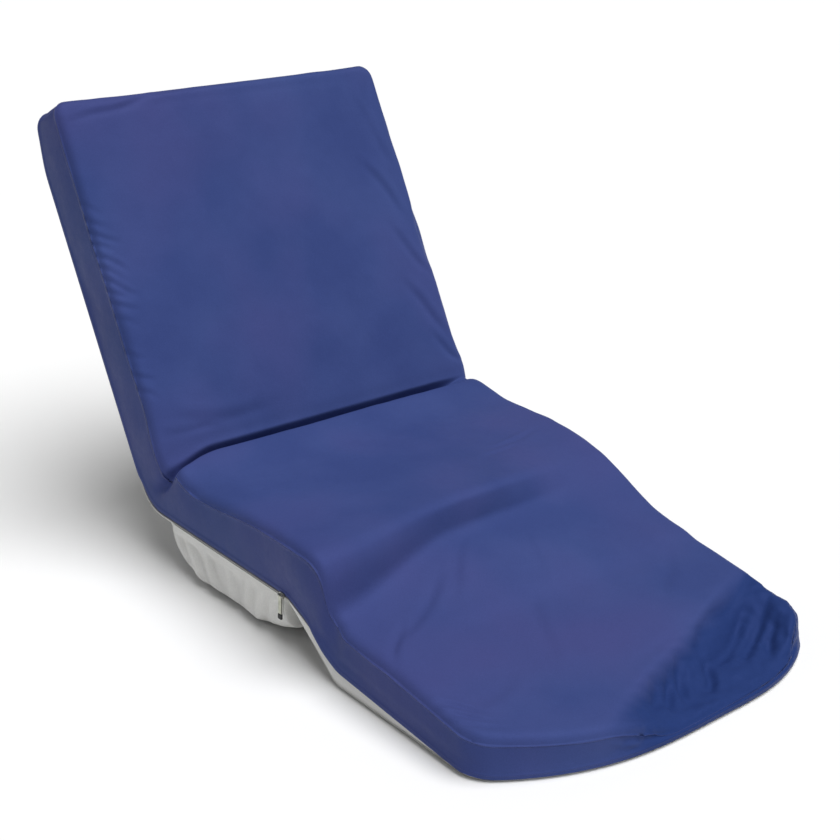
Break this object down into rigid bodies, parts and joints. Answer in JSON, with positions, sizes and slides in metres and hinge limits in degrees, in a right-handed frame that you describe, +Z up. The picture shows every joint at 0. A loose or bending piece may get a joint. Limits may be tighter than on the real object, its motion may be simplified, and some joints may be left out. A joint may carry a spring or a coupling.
{
  "type": "pressure relief mattress",
  "caption": "Foam pressure relief mattress in a zipped blue and grey cover, bent at its back, knee and shin folds as on a raised profiling bed.",
  "frame": {"origin": "under the middle of the whole object, on the floor that it stands on", "axes": "+X towards the foot end, +Z up; the zip slider is on the -Y side, the near side in the usual view"},
  "size_m": [1.6731, 0.8926, 0.9671],
  "materials": {
    "blue_cover": "satin coated stretch cloth",
    "blue_hem": "satin welded hem",
    "grey_cover": "matte coated cloth",
    "fire_sleeve": "matte knit",
    "base_foam": "matte open-cell foam",
    "comfort_foam": "matte open-cell foam",
    "bolster_foam": "matte firm foam",
    "underpad_foam": "matte soft foam",
    "zip_teeth": "satin moulded coil",
    "zip_tape": "woven tape",
    "slider_metal": "satin enamel",
    "tab_metal": "satin enamel",
    "grip": "matte moulding"
  },
  "bodies": {
    "back": {"top_cover_back": "blue_cover", "base_cover_back": "grey_cover", "fire_sleeve_back": "fire_sleeve", "base_foam_back": "base_foam", "comfort_foam_back": "comfort_foam", "side_bolsters_back": "bolster_foam", "zip_chain_back": "zip_teeth", "zip_tapes_back": "zip_tape", "skirt_hem_back": "blue_hem"},
    "seat": {"top_cover_seat": "blue_cover", "base_cover_seat": "grey_cover", "fire_sleeve_seat": "fire_sleeve", "base_foam_seat": "base_foam", "comfort_foam_seat": "comfort_foam", "side_bolsters_seat": "bolster_foam", "zip_chain_seat": "zip_teeth", "zip_tapes_seat": "zip_tape", "skirt_hem_seat": "blue_hem", "belly_cover": "grey_cover", "seat_underpad": "underpad_foam"},
    "knee": {"top_cover_knee": "blue_cover", "base_cover_knee": "grey_cover", "fire_sleeve_knee": "fire_sleeve", "base_foam_knee": "base_foam", "comfort_foam_knee": "comfort_foam", "side_bolsters_knee": "bolster_foam", "zip_chain_knee": "zip_teeth", "zip_tapes_knee": "zip_tape", "skirt_hem_knee": "blue_hem"},
    "leg": {"top_cover_leg": "blue_cover", "base_cover_leg": "grey_cover", "fire_sleeve_leg": "fire_sleeve", "base_foam_leg": "base_foam", "comfort_foam_leg": "comfort_foam", "side_bolsters_leg": "bolster_foam", "zip_chain_leg": "zip_teeth", "zip_tapes_leg": "zip_tape", "skirt_hem_leg": "blue_hem"},
    "slider": {"zip_slider": "slider_metal"},
    "tab": {"zip_pull_tab": "tab_metal", "zip_pull_bead": "grip"}
  },
  "joints": [
    {"name": "shin_fold", "type": "hinge", "parent": "leg", "child": "knee", "pos_m": [0.3084, 0, 0], "axis": [0, 1, 0], "range_deg": [-36, 0], "deforming": ["belly_cover", "seat_underpad"]},
    {"name": "knee_fold", "type": "hinge", "parent": "knee", "child": "seat", "pos_m": [0.1466, 0, 0.11756], "axis": [0, 1, 0], "range_deg": [0, 36]},
    {"name": "back_fold", "type": "hinge", "parent": "seat", "child": "back", "pos_m": [-0.3834, 0, 0.11756], "axis": [0, 1, 0], "range_deg": [-60, 5]},
    {"name": "zip_slide", "type": "slide", "parent": "seat", "child": "slider", "axis": [1, 0, 0], "range_m": [-0.42, 0]},
    {"name": "pull_hinge", "type": "hinge", "parent": "slider", "child": "tab", "pos_m": [0.1346, -0.4482, 0.13156], "axis": [1, 0, 0], "range_deg": [-178, 4]}
  ],
  "couplings": [
    {"joint": "knee_fold", "follows": "shin_fold", "ratio": -1}
  ]
}
